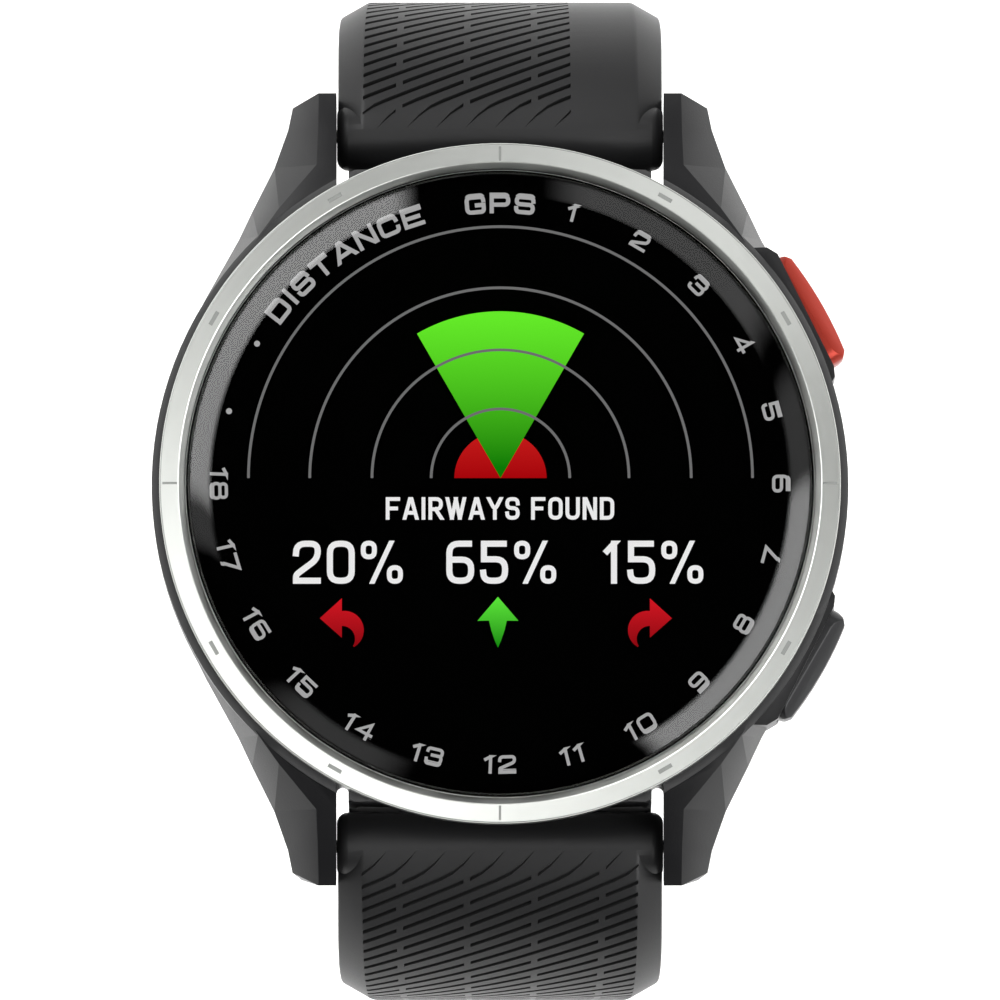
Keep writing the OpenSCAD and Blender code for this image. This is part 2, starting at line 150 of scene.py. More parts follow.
def modify(piece, kind, **settings):
    """Adds one modifier and applies it at once."""
    take(piece)
    modifier = piece.modifiers.new(kind.lower(), kind)
    for key, value in settings.items():
        setattr(modifier, key, value)
    bpy.ops.object.modifier_apply(modifier=modifier.name)
    return piece


def cut(piece, cutter, **settings):
    """Takes the cutter's shape out of the piece and throws the cutter away."""
    modify(piece, "BOOLEAN", operation="DIFFERENCE", object=cutter, solver="EXACT", **settings)
    bpy.data.objects.remove(cutter)
    return piece


def mesh_piece(name, points, faces):
    """A mesh from points in millimetres."""
    data = bpy.data.meshes.new(name)
    data.from_pydata([Vector(p) * MM for p in points], [], faces)
    piece = bpy.data.objects.new(name, data)
    bpy.context.scene.collection.objects.link(piece)
    return piece


# %% [markdown]
# ## Helpers for materials
# Colours are given as sRGB hex values and turned to linear in one place. One small function adds a
# node with its settings and links. Most finishes share a recipe: one fine noise moves the roughness
# a little and lifts the surface by a few microns, at the real size of the grain.

# %% Colours and nodes
def rgb(hex_code):
    parts = [int(hex_code[i:i + 2], 16) / 255 for i in (1, 3, 5)]
    return [p / 12.92 if p <= 0.04045 else ((p + 0.055) / 1.055) ** 2.4 for p in parts] + [1]


def add(tree, kind, values=None, links=(), **settings):
    """Adds one node: settings of its own, values for sockets, links as (socket, node, output)."""
    made = tree.nodes.new(kind)
    for key, value in settings.items():
        setattr(made, key, value)
    for socket, value in (values or {}).items():
        made.inputs[socket].default_value = value
    for socket, source, output in links:
        tree.links.new(source.outputs[output], made.inputs[socket])
    return made


def new_material(name, **values):
    """A material with its Principled shader, its output and the piece's own coordinates."""
    made = bpy.data.materials.new(name)
    made.use_nodes = True
    tree = made.node_tree
    tree.nodes.clear()
    shader = add(tree, "ShaderNodeBsdfPrincipled", {k.replace("_", " "): v for k, v in values.items()})
    add(tree, "ShaderNodeOutputMaterial", links=[("Surface", shader, "BSDF")])
    place = add(tree, "ShaderNodeTexCoord")
    return made, tree, shader, place


def grained(name, colour, rough, grain, height, metal=0.0, spread=0.06, tint=0.12, **values):
    """A finish with grain of a real size, in millimetres: it moves colour, gloss and height."""
    made, tree, shader, place = new_material(name, Metallic=metal, **values)
    noise = add(tree, "ShaderNodeTexNoise", {"Scale": 1 / (grain * MM), "Detail": 3.0},
                [("Vector", place, "Object")])
    gloss = add(tree, "ShaderNodeMapRange", {"To Min": rough - spread, "To Max": rough + spread},
                [("Value", noise, "Fac")])
    shade = add(tree, "ShaderNodeValToRGB", links=[("Fac", noise, "Fac")])
    base = rgb(colour)
    shade.color_ramp.elements[0].color = [c * (1 - tint) for c in base[:3]] + [1]
    shade.color_ramp.elements[1].color = [min(1, c * (1 + tint)) for c in base[:3]] + [1]
    bump = add(tree, "ShaderNodeBump", {"Strength": 0.6, "Distance": height * MM},
               [("Height", noise, "Fac")])
    tree.links.new(gloss.outputs["Result"], shader.inputs["Roughness"])
    tree.links.new(shade.outputs["Color"], shader.inputs["Base Color"])
    tree.links.new(bump.outputs["Normal"], shader.inputs["Normal"])
    return made


def dress(piece, *materials):
    """Gives a piece its materials; a CAD node only has its slots filled."""
    if "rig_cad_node" in piece:
        for s in piece.material_slots:
            s.material = materials[0]
        return piece
    piece.data.materials.clear()
    for material in materials:
        piece.data.materials.append(material)
    return piece


# %% [markdown]
# ## Finishes
# The case and rear cover are glass-fibre-filled nylon, moulded with a fine spark texture: matte,
# nearly black, with a slight speckle. The strap is compression-moulded silicone rubber: a little
# softer and greyer, with a dry sheen. Steel parts are plain stainless, turned or stamped.

# %% Polymers, rubber and metals
case_polymer = grained("nylon_moulded_matte_black", "#0d0d0f", 0.36, 0.12, 0.012,
                       Specular_IOR_Level=0.35)
silicone = grained("silicone_rubber_moulded_black", "#121213", 0.46, 0.1, 0.008, Sheen_Weight=0.08,
                   Sheen_Roughness=0.5, Specular_IOR_Level=0.38)
red_metal = grained("aluminium_anodised_satin_red", "#9c2a19", 0.34, 0.08, 0.004, metal=0.55)
black_metal = grained("aluminium_anodised_satin_black", "#1a1a1c", 0.36, 0.08, 0.004, metal=0.2)
coated_steel = grained("stainless_steel_coated_black", "#232325", 0.32, 0.15, 0.003, metal=0.7)
steel = grained("stainless_steel_turned", "#c2c1bd", 0.28, 0.05, 0.002, metal=1.0, tint=0.05)
spring_wire = grained("spring_steel_drawn_wire", "#a9a8a4", 0.25, 0.04, 0.002, metal=1.0)
gold_plate = grained("brass_gold_plated", "#d9b25c", 0.22, 0.05, 0.001, metal=1.0, tint=0.04)
seal_rubber = grained("silicone_rubber_seal_grey", "#3a3a3b", 0.6, 0.1, 0.01)
foam = grained("acrylic_foam_tape", "#2a2a2b", 0.85, 0.06, 0.02)
die_cast = grained("magnesium_die_cast", "#8b8d8e", 0.5, 0.3, 0.02, metal=1.0)
can_steel = grained("tinned_steel_sheet", "#b4b6b6", 0.3, 0.4, 0.004, metal=1.0)
cell_foil = grained("aluminium_laminate_pouch", "#9fa2a5", 0.35, 0.8, 0.03, metal=0.8)
switch_nylon = grained("nylon_moulded_cream", "#d6cfb8", 0.5, 0.1, 0.01)
socket_nylon = grained("nylon_moulded_gloss_black", "#101012", 0.25, 0.15, 0.006)
panel_glass = grained("display_panel_glass_black", "#020202", 0.12, 0.5, 0.0005, spread=0.02,
                      Specular_IOR_Level=0.0)
print("made", len(bpy.data.materials), "materials")

# %% [markdown]
# Circuit board and ribbons: a board is glass-epoxy laminate under green solder mask, with copper
# tracks that show as lighter lines; a ribbon is amber polyimide film over copper.

# %% Laminates
def tracked(name, base, track, spacing):
    """Solder mask or film with copper tracks every few tenths of a millimetre."""
    made, tree, shader, place = new_material(name, Roughness=0.3)
    cells = add(tree, "ShaderNodeTexBrick", {
        "Scale": 1 / (spacing * MM), "Mortar Size": 0.12, "Color1": rgb(base), "Color2": rgb(base),
        "Mortar": rgb(track)}, [("Vector", place, "Object")])
    bump = add(tree, "ShaderNodeBump", {"Strength": 0.4, "Distance": 0.02 * MM},
               [("Height", cells, "Fac")])
    tree.links.new(cells.outputs["Color"], shader.inputs["Base Color"])
    tree.links.new(bump.outputs["Normal"], shader.inputs["Normal"])
    return made


board_mask = tracked("glass_epoxy_green_solder_mask", "#0d4a2a", "#2c7a45", 1.6)
film = tracked("polyimide_film_on_copper", "#9a5a18", "#c9853a", 0.5)

# %% [markdown]
# The bezel is aluminium, turned and then brushed round its axis. Circular scratches spread a
# highlight along the radius and leave dark and bright fans round the ring. Anisotropy with a
# tangent that runs round Z gives the fans, and a noise that is stretched round the ring gives the
# hairlines: it reads only the radius, so each line is a full circle 0.03 mm wide.

# %% Brushed aluminium
def brushed():
    made, tree, shader, place = new_material(
        "aluminium_brushed_circular", Base_Color=rgb("#c2c4c0"), Metallic=1.0, Anisotropic=0.75)
    split = add(tree, "ShaderNodeSeparateXYZ", links=[("Vector", place, "Object")])
    flat = add(tree, "ShaderNodeCombineXYZ", links=[("X", split, "X"), ("Y", split, "Y")])
    radius = add(tree, "ShaderNodeVectorMath", links=[(0, flat, "Vector")], operation="LENGTH")
    angle = add(tree, "ShaderNodeMath", links=[(0, split, "Y"), (1, split, "X")],
                operation="ARCTAN2")
    turn = add(tree, "ShaderNodeMath", {1: 0.0003}, [(0, angle, 0)], operation="MULTIPLY")
    line = add(tree, "ShaderNodeCombineXYZ", links=[("X", radius, "Value"), ("Y", turn, 0)])
    hair = add(tree, "ShaderNodeTexNoise", {"Scale": 1 / (0.035 * MM), "Detail": 2.0},
               [("Vector", line, "Vector")])
    gloss = add(tree, "ShaderNodeMapRange", {"To Min": 0.24, "To Max": 0.4},
                [("Value", hair, "Fac")])
    bump = add(tree, "ShaderNodeBump", {"Strength": 0.5, "Distance": 0.003 * MM},
               [("Height", hair, "Fac")])
    around = add(tree, "ShaderNodeTangent", direction_type="RADIAL", axis="Z")
    tree.links.new(gloss.outputs["Result"], shader.inputs["Roughness"])
    tree.links.new(bump.outputs["Normal"], shader.inputs["Normal"])
    tree.links.new(around.outputs["Tangent"], shader.inputs["Tangent"])
    return made


bezel_metal = brushed()
mark_fill = grained("aluminium_engraved_matte", "#8d8f8c", 0.5, 0.05, 0.004, metal=0.8)

# %% [markdown]
# The cover is chemically hardened glass: clear, polished, IOR 1.5. Below it the border is printed in
# black ink. The picture is lit from behind, so it is given light of its own; the grey marks printed on
# the border are given a painted glow too, so that they show under the glass.

# %% Glass, ink and light
cover_glass = new_material("glass_hardened_polished", Base_Color=(1, 1, 1, 1), Roughness=0.0,
                           IOR=1.5, Transmission_Weight=1.0)[0]
ink = grained("ceramic_ink_black", "#020202", 0.3, 0.2, 0.001, spread=0.03, Specular_IOR_Level=0.0)


def lit(name, colour, power=1.0):
    """A colour that shines by itself: a patch of the display, or the painted glow given to printed marks."""
    made, tree, shader, place = new_material(
        name, Base_Color=(0, 0, 0, 1), Roughness=0.4, Specular_IOR_Level=0.0,
        Emission_Color=rgb(colour), Emission_Strength=power)
    return made


def lit_fade(name, low, high, y0, y1):
    """The same with a fade between two colours, from y0 to y1 in millimetres."""
    made, tree, shader, place = new_material(name, Base_Color=(0, 0, 0, 1), Roughness=0.4,
                                             Specular_IOR_Level=0.0, Emission_Strength=1.0)
    split = add(tree, "ShaderNodeSeparateXYZ", links=[("Vector", place, "Object")])
    span = add(tree, "ShaderNodeMapRange", {"From Min": y0 * MM, "From Max": y1 * MM},
               [("Value", split, "Y")])
    shade = add(tree, "ShaderNodeValToRGB", links=[("Fac", span, "Result")])
    shade.color_ramp.elements[0].color = rgb(low)
    shade.color_ramp.elements[1].color = rgb(high)
    tree.links.new(shade.outputs["Color"], shader.inputs["Emission Color"])
    return made


light_white = lit("display_light_white", "#ececec")
light_grey = lit("display_light_grey", "#6f6f6f")
# The rim print is grey ink, not a light: its glow is painted light, so that it shows under the glass.
rim_print_painted_glow = lit("rim_print_grey_painted_glow", "#a6a6a6")
light_green = lit_fade("display_light_green", "#0b7a06", "#66ee2a", 1.0, 10.5)
light_leaf = lit_fade("display_light_leaf_green", "#158a12", "#5be43a", -10.2, -7.2)
light_red = lit_fade("display_light_red", "#a8060c", "#c81b1b", 0.4, 3.2)
light_arrow = lit_fade("display_light_arrow_red", "#8a0a12", "#cf1722", -10.2, -7.4)

# %% [markdown]
# ## CAD parts with softened edges
# A moulded or stamped part has no razor edges. A copy of the CAD solid is welded, its flat faces are
# joined up again, and a bevel of a tenth of a millimetre catches the light along each edge.

# %% Softened copies
def softened(node, name, width, material, sharp=28, segments=2, smooth=30):
    """A copy of a CAD node with each edge over the sharp angle bevelled by width millimetres."""
    piece = bpy.data.objects.new(name, nodes[node].data.copy())
    bpy.context.scene.collection.objects.link(piece)
    edit(piece)
    bpy.ops.mesh.remove_doubles(threshold=1e-6)
    bpy.ops.mesh.dissolve_limited(angle_limit=math.radians(0.8))
    bpy.ops.object.mode_set(mode="OBJECT")
    modify(piece, "BEVEL", width=width * MM, segments=segments, limit_method="ANGLE",
           angle_limit=math.radians(sharp), use_clamp_overlap=True, harden_normals=False)
    settle(piece, smooth)
    dress(piece, material)
    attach(piece, nodes[node]["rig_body"])
    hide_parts(node)
    print(name, len(piece.data.polygons), "faces")
    return piece


softened("mid_case", "mid_case_moulded", 0.1, case_polymer, sharp=12, smooth=18)
softened("rear_cover", "rear_cover_moulded", 0.08, case_polymer)
softened("start_cap", "start_cap_machined", 0.08, red_metal, smooth=18)
softened("back_cap", "back_cap_machined", 0.08, black_metal, smooth=18)
softened("fixed_keeper", "fixed_keeper_moulded", 0.25, silicone, segments=3)
softened("free_keeper", "free_keeper_moulded", 0.25, silicone, segments=3)
softened("buckle_frame", "buckle_frame_formed", 0.3, coated_steel, segments=3)
softened("buckle_tang", "buckle_tang_formed", 0.2, coated_steel)

# %% [markdown]
# ## Turned rings
# The bezel and the glass are bodies of revolution. A circle is extruded step by step along the
# profile and resized at each step, which leaves an even ring of faces round the axis.

# %% Turning
def turned(name, profile, segments=192):
    """Profile as (radius, height) in millimetres. A closed profile makes a ring, an open one a disc."""
    r0, z0 = profile[0]
    bpy.ops.object.select_all(action="DESELECT")
    bpy.ops.mesh.primitive_circle_add(vertices=segments, radius=r0 * MM, location=(0, 0, z0 * MM))
    piece = bpy.context.object
    piece.name = piece.data.name = name
    take(piece)
    bpy.ops.object.transform_apply(location=True)
    edit(piece)
    for (r_a, z_a), (r_b, z_b) in zip(profile, profile[1:]):
        bpy.ops.mesh.extrude_region_move(TRANSFORM_OT_translate={"value": (0, 0, (z_b - z_a) * MM)})
        bpy.ops.transform.resize(value=(r_b / r_a, r_b / r_a, 1), center_override=(0, 0, z_b * MM))
    if profile[0] != profile[-1]:
        bpy.ops.mesh.edge_face_add()
        bpy.ops.mesh.select_all(action="DESELECT")
        mesh = bmesh.from_edit_mesh(piece.data)
        for edge in mesh.edges:
            edge.select_set(edge.is_boundary)
        bmesh.update_edit_mesh(piece.data)
        bpy.ops.mesh.edge_face_add()
    return settle(piece, double=1e-6)


BEZEL = [(18.8, 9.2), (21.36, 9.2), (21.4, 9.26), (21.4, 11.0), (21.37, 11.05), (21.3, 11.075),
         (20.24, 11.15), (20.18, 11.13), (19.83, 10.82), (19.8, 10.76),
         (19.8, 9.95), (18.8, 9.95), (18.8, 9.2)]
# The glass's slope in degrees at each radius: it turns down quickly, then steadily, then round the edge
GLASS_SLOPE = ((18.07, 11), (18.3, 14), (19.45, 28), (19.72, 68))


def glass_curve(top=11.4, steps=8):
    """The curved edge from the flat top outwards, by adding up the slope."""
    points = [(GLASS_SLOPE[0][0], top)]
    for (r_a, a), (r_b, b) in zip(GLASS_SLOPE, GLASS_SLOPE[1:]):
        for i in range(steps):
            r, z = points[-1]
            slope = math.radians(a + (b - a) * (i + 0.5) / steps)
            points.append((r + (r_b - r_a) / steps, z - (r_b - r_a) / steps * math.tan(slope)))
    return points


GLASS = [(19.0, 10.045), (19.55, 10.045), (19.62, 10.16), (19.68, 10.16), (19.72, 10.2)] + glass_curve()[::-1]

bezel = turned("bezel_ring", BEZEL, 256)
glass = turned("cover_glass_disc", GLASS, 256)
print("bezel", len(bezel.data.polygons), "faces, glass", len(glass.data.polygons), "faces")

# %% [markdown]
# Hour marks are engraved in the bezel: a thin radial line at each quarter and a short bar along the
# rim at the other hours. One bar is modelled, copied round the ring, and cut out of the metal.

# %% Hour marks
def hour_marks():
    bars = []
    for hour in range(12):
        long, wide = (0.92, 0.15) if hour % 3 == 0 else (0.26, 0.95)
        angle = math.radians(30 * hour)
        bpy.ops.object.select_all(action="DESELECT")
        bpy.ops.mesh.primitive_cube_add(size=1, rotation=(0, 0, angle), scale=(
            long * MM, wide * MM, 0.2 * MM), location=(
            20.74 * MM * math.cos(angle), 20.74 * MM * math.sin(angle), 11.17 * MM))
        bars.append(bpy.context.object)
    for bar in bars:
        bar.select_set(True)
    bpy.ops.object.join()
    return bpy.context.object


marks = hour_marks()
cut(bezel, settle(marks))
dress(bezel, bezel_metal, mark_fill, foam)
edit(bezel)
for index, chosen in ((1, lambda c, n: n.z > 0.9 and 10.98 * MM < c.z < 11.09 * MM),
                      (2, lambda c, n: c.z < 10.78 * MM and c.x * n.x + c.y * n.y < -0.5 * c.xy.length)):
    pick_faces(bezel, chosen)
    bezel.active_material_index = index
    bpy.ops.object.material_slot_assign()
settle(bezel, 12)
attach(bezel, "case")
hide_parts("bezel")
settle(glass, 7.5)
dress(glass, cover_glass)
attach(glass, "case")
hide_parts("glass")

# %% [markdown]
# ## Print round the rim
# Under the glass a black ring is printed, and on it the numbers 1 to 18, one for each hole of a golf
# course, 15 degrees apart. The letters are wide and square. Each is drawn as strokes: lines with
# rounded corners, turned into flat ribbons of even width.

# %% Strokes
GLYPHS = {  # a third number sharpens (0) or eases a corner
    "0": [[(0, 0), (1, 0), (1, 1), (0, 1), (0, 0)]], "1": [[(0, 0.8), (0.62, 1, 0)], [(0.62, 1), (0.62, 0)]],
    "2": [[(0, 0.74), (0, 1), (1, 1), (1, 0.6), (0, 0.16), (0, 0, 0), (1, 0)]],
    "3": [[(0, 0.8), (0, 1), (1, 1), (1, 0.53), (0.36, 0.53)],
          [(0.8, 0.53), (1, 0.53), (1, 0), (0, 0), (0, 0.2)]],
    "4": [[(0.74, 0), (0.74, 1, 0), (0, 0.24, 0), (1, 0.24)]],
    "5": [[(0.94, 1), (0.03, 1, 0), (0.03, 0.58, 0), (1, 0.58), (1, 0), (0, 0), (0, 0.22)]],
    "6": [[(0.9, 1), (0, 1), (0, 0), (1, 0), (1, 0.57), (0.06, 0.57)]],
    "7": [[(0, 1), (1, 1, 0), (0.4, 0)]],
    "8": [[(0.5, 0.53), (0.04, 0.53), (0.04, 1), (0.96, 1), (0.96, 0.53), (0.5, 0.53)],
          [(0.5, 0.53), (1, 0.53), (1, 0), (0, 0), (0, 0.53), (0.5, 0.53)]],
    "9": [[(0.1, 0), (1, 0), (1, 1), (0, 1), (0, 0.43), (0.94, 0.43)]],
    "A": [[(0, 0), (0.43, 1)], [(1, 0), (0.57, 1)], [(0.24, 0.27), (0.76, 0.27)]],
    "C": [[(1, 0.74), (1, 1), (0, 1), (0, 0), (1, 0), (1, 0.26)]],
    "D": [[(0, 0, 0), (1, 0), (1, 1), (0, 1, 0), (0, 0, 0)]],
    "E": [[(1, 1), (0, 1, 0), (0, 0, 0), (1, 0)], [(0, 0.5), (0.84, 0.5)]],
    "F": [[(1, 1), (0, 1, 0), (0, 0)], [(0, 0.5), (0.8, 0.5)]],
    "G": [[(1, 0.76), (1, 1), (0, 1), (0, 0), (1, 0), (1, 0.46, 0), (0.6, 0.46)]],
    "I": [[(0.5, 0), (0.5, 1)]], "N": [[(0, 0), (0, 1)], [(0.13, 1), (0.87, 0)], [(1, 0), (1, 1)]],
    "O": [[(0, 0), (1, 0), (1, 1), (0, 1), (0, 0)]],
    "P": [[(0, 0), (0, 1, 0), (1, 1), (1, 0.44), (0, 0.44)]],
    "R": [[(0, 0), (0, 1, 0), (1, 1), (1, 0.46), (0, 0.46)], [(0.5, 0.46), (1.02, 0)]],
    "S": [[(1, 0.76), (1, 1), (0, 1), (0, 0.52), (1, 0.52), (1, 0), (0, 0), (0, 0.24)]],
    "T": [[(0, 1), (1, 1)], [(0.5, 1), (0.5, 0)]], "U": [[(0, 1), (0, 0), (1, 0), (1, 1)]],
    "W": [[(0, 1), (0.25, 0)], [(0.5, 1), (0.27, 0)], [(0.5, 1), (0.73, 0)], [(1, 1), (0.75, 0)]],
    "Y": [[(0, 1), (0.5, 0.4), (1, 1)], [(0.5, 0.4), (0.5, 0)]],
    "%": [[(0, 0.64), (0.3, 0.64), (0.3, 1), (0, 1), (0, 0.64)],
          [(0.7, 0), (1, 0), (1, 0.36), (0.7, 0.36), (0.7, 0)], [(0.26, 0), (0.74, 1)]],
}
PEN = {"%": 0.8}


def rounded(path, radius, steps=5):
    """Replaces each inner corner with a short arc that starts and ends a radius away."""
    out = [Vector(path[0][:2])]
    for before, corner, after in zip(path, path[1:], path[2:]):
        a, c, b = Vector(before[:2]), Vector(corner[:2]), Vector(after[:2])
        share_a, share_b = (1 if p in (path[0], path[-1]) else 0.5 for p in (before, after))
        reach = min(radius * (corner[2] if len(corner) > 2 else 1),
                    (a - c).length * share_a, (b - c).length * share_b)
        start, end = c + (a - c).normalized() * reach, c + (b - c).normalized() * reach
        for i in range(steps + 1):
            t = i / steps
            out.append((1 - t) ** 2 * start + 2 * t * (1 - t) * c + t * t * end)
    out.append(Vector(path[-1][:2]))
    return [p for p, last in zip(out, [None] + out) if last is None or (p - last).length > 0.01]


def ribbon(points, width, top):
    """Left and right edges of a stroke, mitred at its corners. Ends that meet are joined up; an
    open end that is steep stops on the line's top or foot, another goes half a stroke further."""
    closed = (points[0] - points[-1]).length < 0.02
    left, right = [], []
    for i, p in enumerate(points):
        before = points[i - 1] if i else (points[-2] if closed else None)
        after = points[i + 1] if i + 1 < len(points) else (points[1] if closed else None)
        ways = [w.normalized() for w in ((p - before) if before else None,
                                         (after - p) if after else None) if w]
        along = sum(ways, Vector((0, 0))).normalized()
        side = Vector((-along.y, along.x)) * (width / 2 / max(0.45, along.dot(ways[0])))
        left.append(p + side)
        right.append(p - side)
    if not closed:
        for end, way in ((0, points[0] - points[1]), (-1, points[-1] - points[-2])):
            way.normalize()
            level = math.copysign(top, way.y)
            flush = abs(way.y) > 0.4 and abs(points[end].y - level) < width
            for edge in (left, right):
                edge[end] += way * ((level - edge[end].y) / way.y if flush else width / 2)
    return left, right


def lettering(name, items, stroke, z, material, round_off=0.26):
    """One mesh of many glyphs. Each item is (glyph, place, turn in degrees, width, height)."""
    points, faces = [], []
    for glyph, place, turn, width, height in items:
        spin = Matrix.Rotation(math.radians(turn), 2)
        pen = stroke * PEN.get(glyph, 1)
        for lift, path in enumerate(GLYPHS[glyph]):
            sized = [((q[0] - 0.5) * (width - pen), (q[1] - 0.5) * (height - pen), *q[2:]) for q in path]
            if path[0] == path[-1]:  # start a closed outline in the middle of its first side
                middle = ((sized[0][0] + sized[1][0]) / 2, (sized[0][1] + sized[1][1]) / 2)
                sized = [middle] + sized[1:-1] + [sized[0], middle]
            left, right = ribbon(rounded(sized, round_off), pen, height / 2)
            first = len(points)
            for a, b in zip(left, right):
                for p in (a, b):
                    q = spin @ p + Vector(place)
                    points.append((q.x, q.y, z + lift * 0.002))
            faces += [(first + 2 * i, first + 2 * i + 1, first + 2 * i + 3, first + 2 * i + 2)
                      for i in range(len(left) - 1)]
    return raised(mesh_piece(name, points, faces), 0.02, material)


def raised(piece, height, material):
    """Gives flat shapes the thickness of a layer of ink or light."""
    edit(piece)
    bpy.ops.mesh.remove_doubles(threshold=1e-7)
    bpy.ops.mesh.extrude_region_move(TRANSFORM_OT_translate={"value": (0, 0, height * MM)})
    settle(piece)
    dress(piece, material)
    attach(piece, "case")
    return piece


# %% Numbers, words and dots on the rim
RIM_RADIUS = 17.62
DIGIT = (1.12, 1.06)
GAP = 0.2
PRINT_Z = 10.1
BREADTH = {"I": 0.3, "1": 0.62, " ": 0.4, "W": 1.42, "A": 1.08, "Y": 1.06, "%": 1.51}


def around_rim(text, clock, tops_out, size=DIGIT, gap=GAP):
    """Places a text round the rim, centred on an angle clockwise from 12 o'clock."""
    width, height = size
    widths = [width * BREADTH.get(g, 1) for g in text]
    total = sum(widths) + gap * (len(text) - 1)
    items, start = [], -total / 2
    for g, w in zip(text, widths):
        middle = start + w / 2
        start += w + gap
        step = math.degrees(middle / RIM_RADIUS) * (1 if tops_out else -1)
        a = math.radians(clock + step)
        turn = -(clock + step) + (0 if tops_out else 180)
        items.append((g, (RIM_RADIUS * math.sin(a), RIM_RADIUS * math.cos(a)), turn, w, height))
    return items


# The numbers, words and dots are grey print with a painted glow.
rim_items = [item for n in range(1, 19) for item in around_rim(str(n), 15 * n, n <= 6)]
lettering("rim_numbers", rim_items, 0.2, PRINT_Z, rim_print_painted_glow)
words = around_rim("DISTANCE", 325, True, (1.36, 1.22), 0.24) + around_rim("GPS", 0, True, (1.3, 1.2), 0.26)
lettering("rim_words", words, 0.26, PRINT_Z, rim_print_painted_glow)


def dot(clock):
    a = math.radians(clock)
    centre = (RIM_RADIUS * math.sin(a), RIM_RADIUS * math.cos(a))
    return [(centre[0] + 0.19 * math.cos(t * math.pi / 8), centre[1] + 0.19 * math.sin(t * math.pi / 8),
             PRINT_Z) for t in range(16)]


raised(mesh_piece("rim_dots", dot(285) + dot(300), [tuple(range(16)), tuple(range(16, 32))]), 0.02,
       rim_print_painted_glow)
border = turned("rim_ink_ring", [(16.1, 10.06), (19.6, 10.06), (19.6, 10.08), (16.1, 10.08), (16.1, 10.06)])
dress(border, ink)
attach(border, "case")
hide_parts("printed_border")

# %% [markdown]
# ## Picture on the display
# The screen shows where tee shots ended up: a fan with its apex at the tee, range arcs above it, and
# three shares below with an arrow for each side. Every patch is a flat outline, drawn clockwise or
# not: its faces are turned up afterwards.

# %% Shapes
def arc(cx, cy, r, a0, a1, steps=48):
    return [(cx + r * math.cos(math.radians(a0 + (a1 - a0) * i / steps)),
             cy + r * math.sin(math.radians(a0 + (a1 - a0) * i / steps))) for i in range(steps + 1)]


def patch(name, outlines, z, material, strips=False):
    """Flat outlines in one mesh. A strip is two edges of the same length with quads between."""
    points, faces = [], []
    for outline in outlines:
        first = len(points)
        points += [(x, y, z) for x, y in outline]
        if strips:
            half = len(outline) // 2
            faces += [(first + i, first + i + 1, first + half + i + 1, first + half + i)
                      for i in range(half - 1)]
        else:
            faces.append(tuple(range(first, first + len(outline))))
    return raised(mesh_piece(name, points, faces), 0.01, material)


TEE = (0.03, 0.35)
LINE = 0.17
SCREEN_Z = 10.07
bands = [arc(*TEE, r - LINE / 2, 0, 180, 90) + arc(*TEE, r + LINE / 2, 0, 180, 90)
         for r in (4.35, 8.07, 11.98, 15.83)]
patch("screen_range_arcs", bands, SCREEN_Z + 0.04, light_grey, strips=True)
patch("screen_miss_area", [arc(*TEE, 2.9, 0, 180, 32)], SCREEN_Z, light_red)
patch("screen_hit_fan", [[TEE] + arc(*TEE, 10.5, 60, 120, 30)], SCREEN_Z + 0.02, light_green)

# %% Words and figures
def line_of(text, x, y, width, height, gap):
    """Places a text on one line, centred on x, as items for the lettering."""
    widths = [width * BREADTH.get(g, 1) for g in text]
    start = x - (sum(widths) + gap * (len(text) - 1)) / 2
    items = []
    for g, w in zip(text, widths):
        if g != " ":
            items.append((g, (start + w / 2, y + height / 2), 0, w, height))
        start += w + gap
    return items


lettering("screen_title", line_of("FAIRWAYS FOUND", 0, -2.27, 0.9, 1.42, 0.18), 0.235, SCREEN_Z,
          light_white, 0.34)
for index, (figure, x) in enumerate((("20%", -9.55), ("65%", 0.08), ("15%", 9.65))):
    lettering(f"screen_share_{index}", line_of(figure, x, -6.3, 1.75, 2.71, 0.38), 0.38, SCREEN_Z,
              light_white, 0.6)

# %% Arrows
ARROW_HALF = [(1.29, -1.51), (0.56, -1.5), (0.42, -2.1), (0.2, -2.75)]
ARROW = [(0, 0)] + ARROW_HALF + [(0, -3.2)] + [(-x, y) for x, y in reversed(ARROW_HALF)]
patch("screen_arrow_hit", [[(x - 0.13, y - 7.12) for x, y in ARROW]], SCREEN_Z, light_leaf)
HOOK = ([(0, 0), (1.39, 1.26), (1.39, 0.46)] + arc(1.55, -0.75, 1.22, 97, -60, 14)
        + arc(1.4, -1.3, 0.82, -33, 88, 10) + [(1.39, -0.5), (1.39, -1.23)])
for name, side, x in (("screen_arrow_left", 1, -11.32), ("screen_arrow_right", -1, 10.8)):
    patch(name, [[(x + side * px, py - 8.47) for px, py in HOOK]], SCREEN_Z, light_arrow)
print("display pieces done")

# %% [markdown]
# ## Strap
# Each half is moulded silicone: a flat face with two long bevels, and a band of slanting grooves
# that takes it flexibly round the wrist. A blank is made flat, its corners cut off with planes and
# its grooves cut out while it is still flat. Only then is it bent, point by point, along the same
# two arcs as the CAD strap.

# %% The strap's path
THICK = 1.2
SHOULDER_R, SHOULDER_Y, SHOULDER_Z = 9.3, 21.0, -5.4
BAR_Y, BAR_Z = 22.4, 3.0
START = math.asin((BAR_Y - SHOULDER_Y) / SHOULDER_R)
SHOULDER_S = SHOULDER_R * (math.pi / 2 - START)
WIDE, NARROW, TAPER_FROM, TAPER_TO = 10.2, 8.0, 6, 42
UPPER = dict(length=69, big_r=80)
LOWER = dict(length=113, big_r=110)


